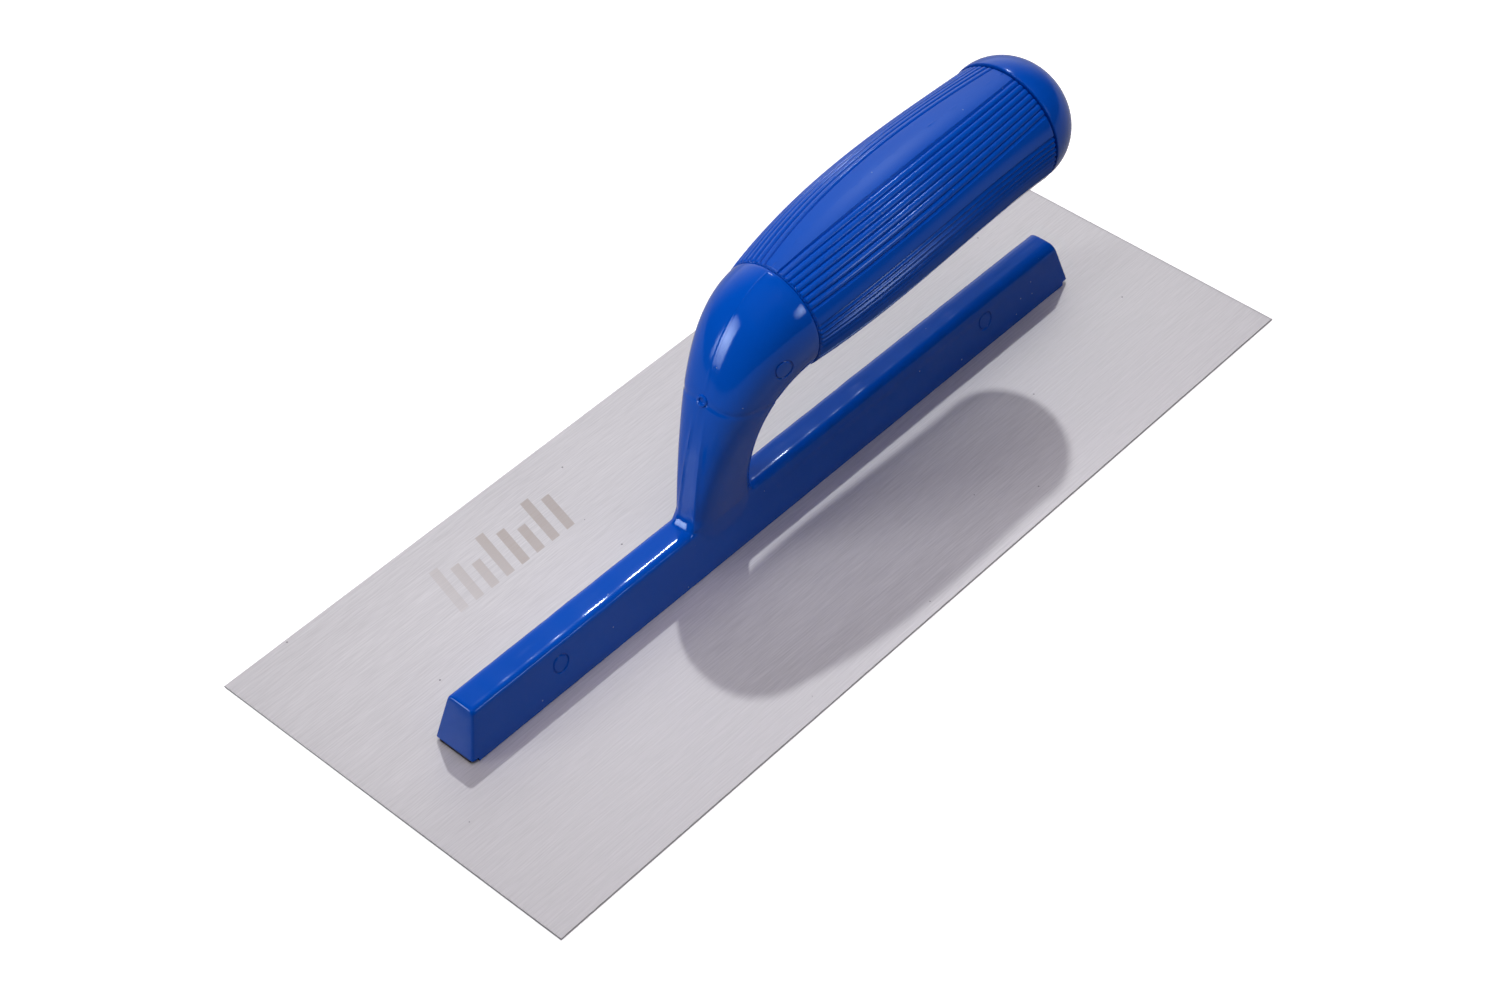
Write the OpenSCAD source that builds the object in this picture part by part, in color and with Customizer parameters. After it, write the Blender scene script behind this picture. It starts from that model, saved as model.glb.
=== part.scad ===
// Steel finishing trowel with a moulded plastic handle.
// The blade lies flat, its working face down on z = 0, with the origin under its middle.
// +X runs from the toe, where the neck stands, to the heel. +Z is up.

/* [Blade] */
// Length of the steel blade
blade_l = 280; // [230:5:360]
// Width of the steel blade
blade_w = 118; // [90:1:145]
// Thickness of the steel blade
blade_t = 0.7; // [0.5:0.05:1]

/* [Handle bar] */
// Bare blade between its toe edge and the bar
bar_toe_margin = 22.5; // [10:0.5:40]
// Bare blade between its heel edge and the bar
bar_heel_margin = 24.5; // [10:0.5:40]
// Height of the bar above the blade
bar_h = 14.8; // [13:0.1:20]
// Width of the bar at the blade
bar_w = 13.4; // [11:0.1:20]
// How far each side of the bar leans in from the blade to the top
bar_side_lean = 2.4; // [1:0.1:3]
// How far each end of the bar leans in from the blade to the top
bar_end_lean = 4.2; // [0:0.1:6]
// Rounding along the bar's two top edges
bar_edge_r = 2.2; // [0.5:0.1:2.6]
// Thickness of the bar's walls around its hollows
bar_wall = 2.2; // [1.5:0.1:2.6]

/* [Backing strip] */
// Thickness of the steel strip between the blade and the bar
strip_t = 1.2; // [1:0.1:2]
// Plastic skirt beside the strip, along each side of the bar
skirt_t = 1.3; // [0.8:0.1:1.8]
// How far each end of the strip stops short of the end of the bar
strip_inset = 0.5; // [0.4:0.1:3]
// Length of skirt that is cut away at each end of the bar
skirt_cut = 2.5; // [1:0.1:5]

/* [Rivets] */
// Number of rivets that hold the blade, the strip and the bar together
rivet_n = 7; // [4:1:9]
// Diameter of a rivet's shank
rivet_d = 3.4; // [2.5:0.1:4]
// Diameter of a rivet's flush head
rivet_head_d = 7; // [6:0.1:7.5]
// Length of a rivet, head and shank
rivet_l = 10.5; // [7:0.5:11]
// Distance from each end of the bar to its first rivet
rivet_end = 14; // [12:0.5:20]
// Length of the solid boss that each rivet is driven into
boss_l = 9; // [7:0.5:12]

/* [Neck] */
// Distance from the middle of the blade to the middle of the neck's foot
foot_set = 23.4; // [15:0.1:30]
// Length of the neck's foot along the bar
foot_l = 22.2; // [19:0.1:28]
// Width of the neck's foot
foot_w = 10.4; // [9:0.1:12.4]
// Rounding in front of the neck's foot
front_fillet = 1.8; // [1:0.1:3]
// Rounding behind the neck's foot
rear_fillet = 0.6; // [0.4:0.1:3]
// Lean of the neck's front face from upright, at the foot
front_lean = 8.5; // [4:0.5:12]
// Lean of the neck's rear face from upright, at the foot
rear_lean = 13; // [6:0.5:16]
// Height of the collar's centre above the bar
collar_rise = 47.4; // [39:0.1:58]
// Distance from the middle of the foot to the collar, along the bar
collar_reach = 24.5; // [21:0.1:29]
// Diameter of the neck's collar, where the grip begins
collar_d = 30.6; // [25:0.1:37]

/* [Grip] */
// Length of the ribbed grip sleeve
grip_l = 90.6; // [75:0.1:110]
// Upward tilt of the grip towards the heel
grip_tilt = 3; // [0:0.5:6]
// How far the grip stands proud of the collar
grip_lip = 0.35; // [0.2:0.05:0.8]
// How much the grip's radius grows from the collar to its heel end
grip_flare = 2.5; // [1:0.1:5]
// Thickness of the sleeve at the collar
sleeve_wall = 2.8; // [2:0.1:4]
// Depth of the broad reeds
reed_depth = 0.5; // [0.2:0.05:0.8]
// Depth of the fine ribs
rib_depth = 0.35; // [0.2:0.05:0.6]

/* [End cap] */
// Length of the domed end cap
cap_l = 16.3; // [14:0.1:22]
// How far the cap's rim stands proud of the grip
cap_lip = 0.1; // [0:0.05:0.8]
// How far the cap's dome sits above the grip's axis
cap_lift = 0.4; // [0:0.05:0.8]
// Thickness of the cap's shell
cap_wall = 2.4; // [1.5:0.1:3]
// Length of the cap's plug inside the sleeve
plug_l = 8; // [6:0.5:10]
// Height of the snap bead around the plug
bead_h = 0.5; // [0.3:0.1:0.8]

/* [Screw] */
// Diameter of the screw that holds the sleeve on its spigot
screw_d = 5; // [4:0.1:6]
// Length of the screw under its head
screw_l = 28; // [20:1:34]
// Diameter of the washer
washer_d = 21; // [17:0.5:23]
// Thickness of the washer
washer_t = 1.5; // [1:0.1:2]

/* [Hidden] */
$fn = 48;
FIT = 0.1;              // clearance between pieces that are pushed together
SEAT_GAP = 0.15;        // the bar bears on the strip and clears the blade by this
SEAM = 0.4;             // open seam at each end of the grip sleeve
SEAM_DEPTH = 1.4;       // depth of that seam, down to the shoulder that seats the sleeve
CUT = 1;                // how far a cutter runs past the face that it cuts

// Bar and strip
bar_x0 = -blade_l / 2 + bar_toe_margin;
bar_x1 = blade_l / 2 - bar_heel_margin;
bar_l = bar_x1 - bar_x0;
bar_top = blade_t + bar_h;
strip_w = bar_w - 2 * (skirt_t + FIT);
strip_top = blade_t + strip_t;
bar_lean_angle = atan(bar_side_lean / bar_h);
function bar_half(z) = bar_w / 2 - bar_side_lean * (z - blade_t) / bar_h;

// Rivets
rivet_pitch = (bar_l - 2 * rivet_end) / (rivet_n - 1);
rivet_head_h = (rivet_head_d - rivet_d) / 2;
function rivet_x(i) = bar_x0 + rivet_end + i * rivet_pitch;

// Neck and collar: the grip's axis starts at the collar's centre
foot_x = -foot_set;
collar_x = foot_x + collar_reach;
collar_z = bar_top + collar_rise;
collar_r = collar_d / 2;
FRONT_PULL = [48, 15];  // how far the front curve runs straight on from foot and from collar
REAR_PULL = [25, 9];  // the same for the rear curve
WIDTH_EASE = 1.6;       // how early the neck widens on its way up
FOOT_SQUARE = 2.7;      // power of the foot's rounded outline, falling to a circle's 2
FOOT_SINK = 6;          // how far the neck's foot runs down inside the bar
NECK_RINGS = 18;
NECK_SIDES = 40;

// Grip outline: how far its top, side and bottom swell past a straight taper,
// a third and two thirds of the way along
TOP_SWELL = [6.7, 3.7];
SIDE_SWELL = [4.2, 0.7];
BOTTOM_SWELL = [1.4, -2.2];
GRIP_RINGS = 14;
REEDS = 7;              // broad reeds on each upper side
RIBS = 8;               // fine ribs on each lower side
REED_SPAN = [17.5, 59.5];
RIB_SPAN = [74, 115.6];

// Sleeve bores, spigot and fixings
spigot_r = collar_r - sleeve_wall;
plug_r = collar_r - sleeve_wall + 1.6;
HEAD_ROOM = 6;          // room for the screw's head between washer and plug
FLANGE_T = 3;           // flange inside the sleeve that the washer clamps
spigot_l = grip_l - plug_l - HEAD_ROOM - washer_t - FLANGE_T;
flange_l = spigot_l + FLANGE_T;
CAP_RIM = 0.8;          // straight part of the cap before its dome begins
SPIGOT_WALL = 2.4;
SCREW_BOSS_R = 5;
CORE_DEPTH = 3;         // how far the spigot's hollow runs on into the neck
HEAD_D = 9.5;
HEAD_H = 3.6;

// Point on a cubic curve through a and d, pulled towards b and c
function bezier(a, b, c, d, t) =
  pow(1 - t, 3) * a + 3 * pow(1 - t, 2) * t * b + 3 * (1 - t) * t * t * c + pow(t, 3) * d;

// Unit circle point pushed out towards a square as power rises above 2
function squircle(angle, power) =
  [for (w = [cos(angle), sin(angle)]) sign(w) * pow(abs(w), 2 / power)];

// Closed solid through a list of rings that all have the same number of points
module loft(rings) {
  sides = len(rings[0]);
  last = len(rings) - 1;
  points = [for (ring = rings) for (p = ring) p];
  walls = [for (i = [0 : last - 1]) for (k = [0 : sides - 1])
    let (n = (k + 1) % sides)
    for (f = [[i * sides + k, i * sides + n, (i + 1) * sides + n],
              [i * sides + k, (i + 1) * sides + n, (i + 1) * sides + k]]) f];
  start = [for (k = [sides - 1 : -1 : 0]) k];
  end = [for (k = [0 : sides - 1]) last * sides + k];
  polyhedron(points, concat([start], walls, [end]), convexity = 6);
}

// Moves something built along +Z onto the grip's axis, or lifted above it
module on_grip_axis(along = 0, lift = 0) {
  translate([collar_x, 0, collar_z])
    rotate([0, 90 - grip_tilt, 0])
      translate([-lift, 0, along])
        children();
}

// ---- Blade, strip and rivets ----

// One rivet: flush cone head on z = 0 and a plain shank, grown by gap for its hole
module rivet(gap = 0) {
  cylinder(h = rivet_head_h + gap, r1 = rivet_head_d / 2 + gap, r2 = rivet_d / 2 + gap);
  cylinder(h = rivet_l + 2 * gap, r = rivet_d / 2 + gap);
}

module at_rivets() {
  for (i = [0 : rivet_n - 1])
    translate([rivet_x(i), 0, 0])
      children();
}

module mount_rivets() {
  color("silver")
    at_rivets() rivet();
}

module blade() {
  color("lightgray")
    difference() {
      translate([-blade_l / 2, -blade_w / 2, 0])
        cube([blade_l, blade_w, blade_t]);
      at_rivets() rivet(FIT);
    }
}

module backing_strip() {
  color("dimgray")
    difference() {
      translate([bar_x0 + strip_inset, -strip_w / 2, blade_t])
        cube([bar_l - 2 * strip_inset, strip_w, strip_t]);
      at_rivets() rivet(FIT);
    }
}

// ---- Handle mount: bar, neck and spigot in one moulding ----

// Half of the bar's outline, from the blade up one side and round the top edge
function bar_half_outline() =
  let (r = bar_edge_r,
       cz = bar_top - r,
       cy = bar_half(cz) - r / cos(bar_lean_angle))
  concat([[bar_half(blade_t + SEAT_GAP), blade_t + SEAT_GAP]],
         [for (a = [bar_lean_angle : (90 - bar_lean_angle) / 6 : 90.01])
           [cy + r * cos(a), cz + r * sin(a)]]);

module bar_outline() {
  half = bar_half_outline();
  n = len(half);
  polygon(concat(half, [for (k = [n - 1 : -1 : 0]) [-half[k][0], half[k][1]]]));
}

module bar_blank() {
  intersection() {
    translate([bar_x0, 0, 0])
      rotate([90, 0, 90])
        linear_extrude(bar_l)
          bar_outline();
    rotate([90, 0, 0])
      linear_extrude(2 * bar_w, center = true)
        polygon([[bar_x0, blade_t], [bar_x1, blade_t],
                 [bar_x1 - bar_end_lean, bar_top], [bar_x0 + bar_end_lean, bar_top]]);
  }
}

// Hollow under the bar between two rivet bosses, of length l
module bar_pocket(l) {
  ceiling = bar_top - bar_wall;
  low = bar_half(strip_top) - bar_wall;
  high = bar_half(ceiling) - bar_wall;
  rotate([90, 0, 90])
    linear_extrude(l)
      polygon([[-low, strip_top - CUT / 2], [low, strip_top - CUT / 2],
               [high, ceiling], [-high, ceiling]]);
}

module bar_hollows() {
  for (i = [0 : rivet_n - 2])
    translate([rivet_x(i) + boss_l / 2, 0, 0])
      bar_pocket(rivet_pitch - boss_l);
}

// Channel for the strip, and the skirt cut away at each end of the bar
module strip_channel() {
  half = strip_w / 2 + FIT;
  translate([bar_x0 - CUT, -half, 0])
    cube([bar_l + 2 * CUT, 2 * half, strip_top]);
  for (x = [bar_x0 - CUT, bar_x1 - skirt_cut])
    translate([x, -bar_w, 0])
      cube([skirt_cut + CUT, 2 * bar_w, strip_top]);
}

// One level cut of the neck, at share t of the way from its foot to the collar
function neck_ring(t) =
  let (axis = [cos(grip_tilt), sin(grip_tilt)],
       up = [-sin(grip_tilt), cos(grip_tilt)],
       collar = [collar_x, collar_z],
       front_foot = [foot_x - foot_l / 2, bar_top],
       rear_foot = [foot_x + foot_l / 2, bar_top],
       front = bezier(front_foot,
                      front_foot + FRONT_PULL[0] * [sin(front_lean), cos(front_lean)],
                      collar + collar_r * up - FRONT_PULL[1] * axis,
                      collar + collar_r * up, t),
       rear = bezier(rear_foot,
                     rear_foot + REAR_PULL[0] * [-sin(rear_lean), cos(rear_lean)],
                     collar - collar_r * up - REAR_PULL[1] * axis,
                     collar - collar_r * up, t),
       half_width = collar_r - (collar_r - foot_w / 2) * pow(1 - t, WIDTH_EASE),
       power = 2 + (FOOT_SQUARE - 2) * pow(1 - t, 2))
  oval(front - [fillet_at(front_fillet, front), 0], rear + [fillet_at(rear_fillet, rear), 0],
       half_width, power);

// Extra reach of a rounding of size r at the height of point p
function fillet_at(r, p) = r * pow(max(0, 1 - (p[1] - bar_top) / (2 * r)), 2);

// Ring of points round an oval that spans front to rear, each an [x, z] point
function oval(front, rear, half_width, power) =
  [for (k = [0 : NECK_SIDES - 1])
    let (w = squircle(360 * k / NECK_SIDES, power),
         p = (front + rear) / 2 + (front - rear) / 2 * w[0])
    [p[0], half_width * w[1], p[1]]];

// The foot's lowest ring, sunk in the bar and just inside its sides
function sunk_ring() =
  let (z = bar_top - FOOT_SINK)
  oval([foot_x - foot_l / 2 - front_fillet, z], [foot_x + foot_l / 2 + rear_fillet, z],
       bar_half(z) - FIT, FOOT_SQUARE);

module neck_blank() {
  loft(concat([sunk_ring()],
              [for (i = [0 : NECK_RINGS]) neck_ring(pow(i / NECK_RINGS, 1.4))]));
}

// Hollow of the spigot: a ring round the screw's boss, left open to the heel
module spigot_core() {
  depth = spigot_l + CORE_DEPTH;
  on_grip_axis(-CORE_DEPTH)
    difference() {
      cylinder(h = depth + CUT, r = spigot_r - SPIGOT_WALL);
      cylinder(h = depth, r = SCREW_BOSS_R);
      for (turn = [45, 135])
        rotate([0, 0, turn])
          translate([-spigot_r, -1, 0])
            cube([2 * spigot_r, 2, depth]);
    }
}

module screw_hole() {
  on_grip_axis(flange_l + washer_t - screw_l - CUT)
    cylinder(h = screw_l + 2 * CUT, r = screw_d / 2 + FIT / 2);
}

module handle_mount() {
  color("royalblue")
    difference() {
      union() {
        bar_blank();
        neck_blank();
        on_grip_axis(-CUT) cylinder(h = SEAM + CUT, r = collar_r - SEAM_DEPTH);
        on_grip_axis(-CUT) cylinder(h = spigot_l + CUT, r = spigot_r);
      }
      bar_hollows();
      strip_channel();
      at_rivets() rivet(FIT / 2);
      spigot_core();
      screw_hole();
    }
}

// ---- Grip sleeve ----

// Distance from the grip's axis to its skin, at share t along it, for one swell pair
function grip_reach(swell, t) =
  let (a = collar_r + grip_lip,
       d = collar_r + grip_flare)
  bezier(a, a + (d - a) / 3 + swell[0], a + (d - a) * 2 / 3 + swell[1], d, t);

// Reeds draw in towards the top panel at both ends of the grip
function reed_start(t) = REED_SPAN[0] - 9.5 * pow(1 - t, 4) - 6 * pow(t, 4);
function reed_end(t) = REED_SPAN[1] - 4 * pow(1 - t, 4) - 7.5 * pow(t, 4);

// Angle from the top and depth below the skin of each point down one side of the grip
function side_points(t) =
  let (a = reed_start(t),
       b = reed_end(t),
       reed = (b - a) / REEDS,
       rib = (RIB_SPAN[1] - RIB_SPAN[0]) / RIBS,
       gap = RIB_SPAN[0] - b,
       rest = 180 - RIB_SPAN[1])
  concat([[a / 2, 0]],
         [for (i = [0 : REEDS - 1]) for (k = [0 : 2]) [a + (i + k / 3) * reed, k ? 0 : reed_depth]],
         [[b, reed_depth], [b + gap / 4, 0], [b + gap * 3 / 4, 0]],
         [for (i = [0 : 2 * RIBS]) [RIB_SPAN[0] + i / 2 * rib, i % 2 ? 0 : rib_depth]],
         [for (i = [0.2, 0.4, 0.6, 0.8]) [RIB_SPAN[1] + i * rest, 0]]);

// One cut across the grip, in the axis frame: x down, y sideways, z along
function grip_ring(t) =
  let (top = grip_reach(TOP_SWELL, t),
       bottom = grip_reach(BOTTOM_SWELL, t),
       side = grip_reach(SIDE_SWELL, t),
       down = side_points(t),
       n = len(down),
       round_trip = concat([[0, 0]], down, [[180, 0]],
                           [for (i = [n - 1 : -1 : 0]) [360 - down[i][0], down[i][1]]]))
  [for (p = round_trip)
    let (shrink = 1 - p[1] / side)
    [(bottom - top) / 2 - (top + bottom) / 2 * shrink * cos(p[0]),
     side * shrink * sin(p[0]),
     SEAM + t * (grip_l - SEAM)]];

module grip_sleeve() {
  color("royalblue")
    difference() {
      on_grip_axis() loft([for (i = [0 : GRIP_RINGS]) grip_ring(i / GRIP_RINGS)]);
      on_grip_axis(-CUT) cylinder(h = spigot_l + CUT + FIT, r = spigot_r + FIT);
      on_grip_axis() cylinder(h = grip_l, r = screw_d / 2 + 2 * FIT);
      on_grip_axis(flange_l) cylinder(h = grip_l, r = plug_r + FIT);
      snap_ring(FIT);
    }
}

// ---- End cap ----

// Snap bead round the plug, grown by gap for its groove in the sleeve
module snap_ring(gap = 0) {
  on_grip_axis(grip_l - plug_l / 2)
    rotate_extrude()
      polygon([[plug_r - CUT, -2 * bead_h - gap], [plug_r + gap, -2 * bead_h - gap],
               [plug_r + bead_h + gap, 0],
               [plug_r + gap, 2 * bead_h + gap], [plug_r - CUT, 2 * bead_h + gap]]);
}

// Half outline of a dome of the given length, on a rim of radius r
function dome(r, length, rim) =
  [for (a = [0 : 6 : 90]) [r * cos(a), rim + (length - rim) * sin(a)]];

module end_cap() {
  rim_r = collar_r + grip_flare + cap_lip;
  color("royalblue")
    difference() {
      union() {
        on_grip_axis(grip_l + SEAM, cap_lift)
          rotate_extrude()
            polygon(concat([[0, 0], [rim_r - CAP_RIM / 2, 0]], dome(rim_r, cap_l, CAP_RIM)));
        on_grip_axis(grip_l) cylinder(h = SEAM + CUT, r = rim_r - SEAM_DEPTH);
        on_grip_axis(grip_l - plug_l) cylinder(h = plug_l + CUT, r = plug_r);
        snap_ring();
      }
      on_grip_axis(grip_l - plug_l - CUT)
        cylinder(h = plug_l + 2 * CUT, r = plug_r - cap_wall);
      on_grip_axis(grip_l + SEAM)
        rotate_extrude()
          polygon(concat([[0, 0]], dome(plug_r - cap_wall, cap_l - cap_wall, CAP_RIM)));
    }
}

// ---- Screw and washer ----

module tang_washer() {
  color("silver")
    on_grip_axis(flange_l)
      difference() {
        cylinder(h = washer_t, r = washer_d / 2);
        translate([0, 0, -CUT]) cylinder(h = washer_t + 2 * CUT, r = screw_d / 2 + FIT);
      }
}

module tang_screw() {
  POINT = 4;            // length of the screw's point
  RECESS = 1;           // half width of the cross recess
  color("silver")
    on_grip_axis(flange_l + washer_t)
      difference() {
        union() {
          translate([0, 0, -screw_l + POINT]) cylinder(h = screw_l - POINT, r = screw_d / 2);
          translate([0, 0, -screw_l]) cylinder(h = POINT, r1 = 0.6, r2 = screw_d / 2);
          rotate_extrude()
            polygon(concat([[0, 0]], [for (a = [0 : 10 : 90])
              [HEAD_D / 2 * pow(cos(a), 0.6), HEAD_H * pow(sin(a), 0.8)]]));
        }
        for (turn = [0, 90])
          rotate([0, 0, turn])
            translate([-HEAD_D / 4, -RECESS / 2, HEAD_H / 3])
              cube([HEAD_D / 2, RECESS, HEAD_H]);
      }
}

blade();
backing_strip();
mount_rivets();
handle_mount();
grip_sleeve();
end_cap();
tang_screw();
tang_washer();
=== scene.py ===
# %% [markdown]
# # A steel finishing trowel with a moulded plastic handle
# This lesson dresses a trowel whose sizes are already fixed. The fixed part comes in as a frame of
# eight solids. Steel pieces that already have the right shape keep their mesh and get a finish. The
# blade, the handle moulding, the grip sleeve and the end cap are built again as finer meshes that
# follow the same curves, because gloss shows every flat facet.

# %% Load the frame
import math

import bmesh
import bpy
import numpy as np
from mathutils import Matrix, Vector, noise
from mathutils.bvhtree import BVHTree


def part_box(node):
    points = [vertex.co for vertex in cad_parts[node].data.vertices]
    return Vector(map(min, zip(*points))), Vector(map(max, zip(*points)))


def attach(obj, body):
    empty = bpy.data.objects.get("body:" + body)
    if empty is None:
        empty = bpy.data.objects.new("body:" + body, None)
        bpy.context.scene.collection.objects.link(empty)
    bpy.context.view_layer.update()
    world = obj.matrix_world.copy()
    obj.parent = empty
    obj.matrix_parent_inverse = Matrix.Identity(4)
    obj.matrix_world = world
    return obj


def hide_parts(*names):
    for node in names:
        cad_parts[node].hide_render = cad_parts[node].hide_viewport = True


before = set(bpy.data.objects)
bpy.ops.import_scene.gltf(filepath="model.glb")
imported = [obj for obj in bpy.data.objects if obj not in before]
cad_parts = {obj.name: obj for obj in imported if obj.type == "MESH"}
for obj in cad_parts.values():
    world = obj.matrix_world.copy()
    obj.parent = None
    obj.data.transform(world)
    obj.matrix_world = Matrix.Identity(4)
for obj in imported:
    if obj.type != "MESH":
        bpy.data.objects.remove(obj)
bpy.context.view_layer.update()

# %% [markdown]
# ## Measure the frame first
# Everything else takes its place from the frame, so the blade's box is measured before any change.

MM = 0.001

blade_low, blade_high = (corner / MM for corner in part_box("blade"))
blade_l = blade_high.x - blade_low.x
blade_w = blade_high.y - blade_low.y
blade_t = blade_high.z
print(f"blade {blade_l:.1f} x {blade_w:.1f} x {blade_t:.2f} mm")

# %% [markdown]
# ## Camera
# A product shot of a long tool is taken from above one corner, with a longish lens so that the far
# end doesn't shrink. The camera comes first, because every finish is judged through it. It has
# a place and three angles: how far it is turned, how steeply it looks down and how it is rolled.

# %% Camera
CAMERA_PLACE = Vector((-419.9, -391.3, 583.2)) * MM
CAMERA_TURN = math.radians(-46.344)
CAMERA_HEIGHT = math.radians(45.547)
CAMERA_ROLL = math.radians(-2.064)
LENS_MM = 74.73
SENSOR_MM = 36


def camera_axes(turn, height, roll):
    """Right, up and backward directions of a camera, from its three angles."""
    back = Vector((math.sin(turn) * math.cos(height), -math.cos(turn) * math.cos(height),
                   math.sin(height)))
    right = Vector((0, 0, 1)).cross(back).normalized()
    up = back.cross(right)
    turned_right = right * math.cos(roll) + up * math.sin(roll)
    turned_up = up * math.cos(roll) - right * math.sin(roll)
    return turned_right, turned_up, back


def new_object(name, data):
    """An object for a mesh, a camera or a lamp, placed in the scene."""
    thing = bpy.data.objects.new(name, data)
    bpy.context.scene.collection.objects.link(thing)
    return thing


def add_camera():
    lens = bpy.data.cameras.new("shot_camera")
    lens.lens = LENS_MM
    lens.sensor_width = SENSOR_MM
    camera = new_object("shot_camera", lens)
    axes = Matrix(camera_axes(CAMERA_TURN, CAMERA_HEIGHT, CAMERA_ROLL)).transposed()
    camera.matrix_world = Matrix.Translation(CAMERA_PLACE) @ axes.to_4x4()
    bpy.context.scene.camera = camera
    return camera


camera = add_camera()
print("camera stands at", [round(c, 3) for c in camera.matrix_world.translation])

# %% [markdown]
# ## Small tools for making meshes
# Moulded and turned pieces are all skins through a row of outlines. `loft` closes such a row of
# rings at both ends, and `tube` closes it on itself, for a piece with a bore. `combine` cuts or
# joins two objects with the Boolean modifier and applies it. Sizes are in millimetres until the
# mesh is made.

# %% Mesh helpers
SMOOTH_ANGLE = math.radians(32)


def loft(rings):
    """Points and faces of a closed skin through rings with the same number of points each."""
    rings = np.asarray(rings, float)
    count, sides = rings.shape[:2]
    faces = [(i * sides + k, i * sides + (k + 1) % sides,
              (i + 1) * sides + (k + 1) % sides, (i + 1) * sides + k)
             for i in range(count - 1) for k in range(sides)]
    start = tuple(range(sides))[::-1]
    end = tuple((count - 1) * sides + k for k in range(sides))
    return rings.reshape(-1, 3), [start, *faces, end]


def tube(rings):
    """Points and faces of a skin whose last ring joins its first."""
    points, faces = loft(rings)
    sides = len(rings[0])
    last = len(points) - sides
    closing = [(last + k, last + (k + 1) % sides, (k + 1) % sides, k) for k in range(sides)]
    return points, faces[1:-1] + closing


def edit_mesh(mesh, change):
    """Opens a mesh for editing, makes one change and writes it back."""
    work = bmesh.new()
    work.from_mesh(mesh)
    change(work)
    work.to_mesh(mesh)
    work.free()


def new_piece(name, points, faces):
    """A mesh object from points in millimetres, with all its faces turned outwards."""
    mesh = bpy.data.meshes.new(name)
    mesh.from_pydata((np.asarray(points) * MM).tolist(), [], faces)
    edit_mesh(mesh, lambda work: bmesh.ops.recalc_face_normals(work, faces=work.faces))
    return new_object(name, mesh)


def join_meshes(name, parts):
    """One object out of several that don't touch each other."""
    work = bmesh.new()
    for part in parts:
        work.from_mesh(part.data)
        bpy.data.objects.remove(part)
    mesh = bpy.data.meshes.new(name)
    work.to_mesh(mesh)
    work.free()
    return new_object(name, mesh)


def combine(piece, tool, operation):
    """Cuts tool out of piece, or adds it, and removes the tool."""
    step = piece.modifiers.new(operation, "BOOLEAN")
    step.operation = operation
    step.solver = "EXACT"
    step.object = tool
    shaped = piece.evaluated_get(bpy.context.evaluated_depsgraph_get())
    old = piece.data
    piece.data = bpy.data.meshes.new_from_object(shaped)
    piece.modifiers.clear()
    bpy.data.meshes.remove(old)
    bpy.data.objects.remove(tool)
    return piece


def split_wide_faces(piece):
    """Cuts the many-sided faces that a Boolean leaves into triangles, so none can fold later."""
    def split(work):
        bmesh.ops.triangulate(work, faces=[face for face in work.faces if len(face.verts) > 4])

    edit_mesh(piece.data, split)


def finish_mesh(piece):
    """Smooth shading that keeps real edges crisp."""
    piece.data.shade_smooth()
    piece.data.set_sharp_from_angle(angle=SMOOTH_ANGLE)
    print(f"{piece.name}: {len(piece.data.vertices)} points, {len(piece.data.polygons)} faces")
    return piece


# %% [markdown]
# ## Curves shared by several pieces
# The neck and the grip follow cubic curves. Each is given by two ends and two points that pull it,
# which is the same way that a draughtsman's spline works. The grip has a straight axis of its
# own, tilted a little, and its pieces are laid out along that axis.

# %% The grip's axis
GRIP_TILT = math.radians(3)
COLLAR = np.array([1.1, 0.0, 62.9])
COLLAR_R = 15.3
AXIS = np.array([math.cos(GRIP_TILT), 0.0, math.sin(GRIP_TILT)])
AXIS_UP = np.array([-math.sin(GRIP_TILT), 0.0, math.cos(GRIP_TILT)])
SIDEWAYS = np.array([0.0, 1.0, 0.0])


def curve_point(a, b, c, d, t):
    """Point at share t of a cubic curve from a to d, pulled towards b and c."""
    return (1 - t) ** 3 * a + 3 * (1 - t) ** 2 * t * b + 3 * (1 - t) * t * t * c + t ** 3 * d


def limited(share):
    """A share kept between 0 and 1."""
    return min(max(share, 0), 1)


def even_angles(sides):
    return np.linspace(0, 2 * math.pi, sides, endpoint=False)


def axis_ring(along, radius, angles, lift=0.0):
    """Circle of points round the grip's axis."""
    return [COLLAR + along * AXIS + (lift + radius * math.cos(a)) * AXIS_UP
            + radius * math.sin(a) * SIDEWAYS for a in angles]


def turned_rings(profile, angles, lift=0.0):
    """Rings for a piece turned round the grip's axis, from (radius, along) pairs."""
    return [axis_ring(along, radius, angles, lift) for radius, along in profile]


# %% [markdown]
# ## Blade
# The blade is a rolled and ground steel sheet with square corners. The heel edge has a narrow
# ground land, and every edge is broken very slightly, so that it catches a line of light. A
# flat outline is drawn up through the sheet's thickness, and seven flush rivet holes are cut.

# %% Blade
EDGE_BREAK = 0.12
LAND_W = 1.1
LAND_DROP = 0.16
RIVET_COUNT = 7
RIVET_R = 1.7
RIVET_HEAD_R = 3.5
RIVET_GAP = 0.1
CUT = 1.0

strip_low, strip_high = (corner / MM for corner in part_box("backing_strip"))
rivet_low, rivet_high = (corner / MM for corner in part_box("mount_rivets"))
rivet_xs = np.linspace(rivet_low.x + RIVET_HEAD_R, rivet_high.x - RIVET_HEAD_R, RIVET_COUNT)


def sheet_ring(z, inset, land=0.0):
    """Outline of the blade at height z, drawn in by inset, and by land along the heel edge."""
    x0, x1 = blade_low.x + inset, blade_high.x - inset - land
    half = blade_w / 2 - inset
    return [(x0, -half, z), (x1, -half, z), (x1, half, z), (x0, half, z)]


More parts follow.
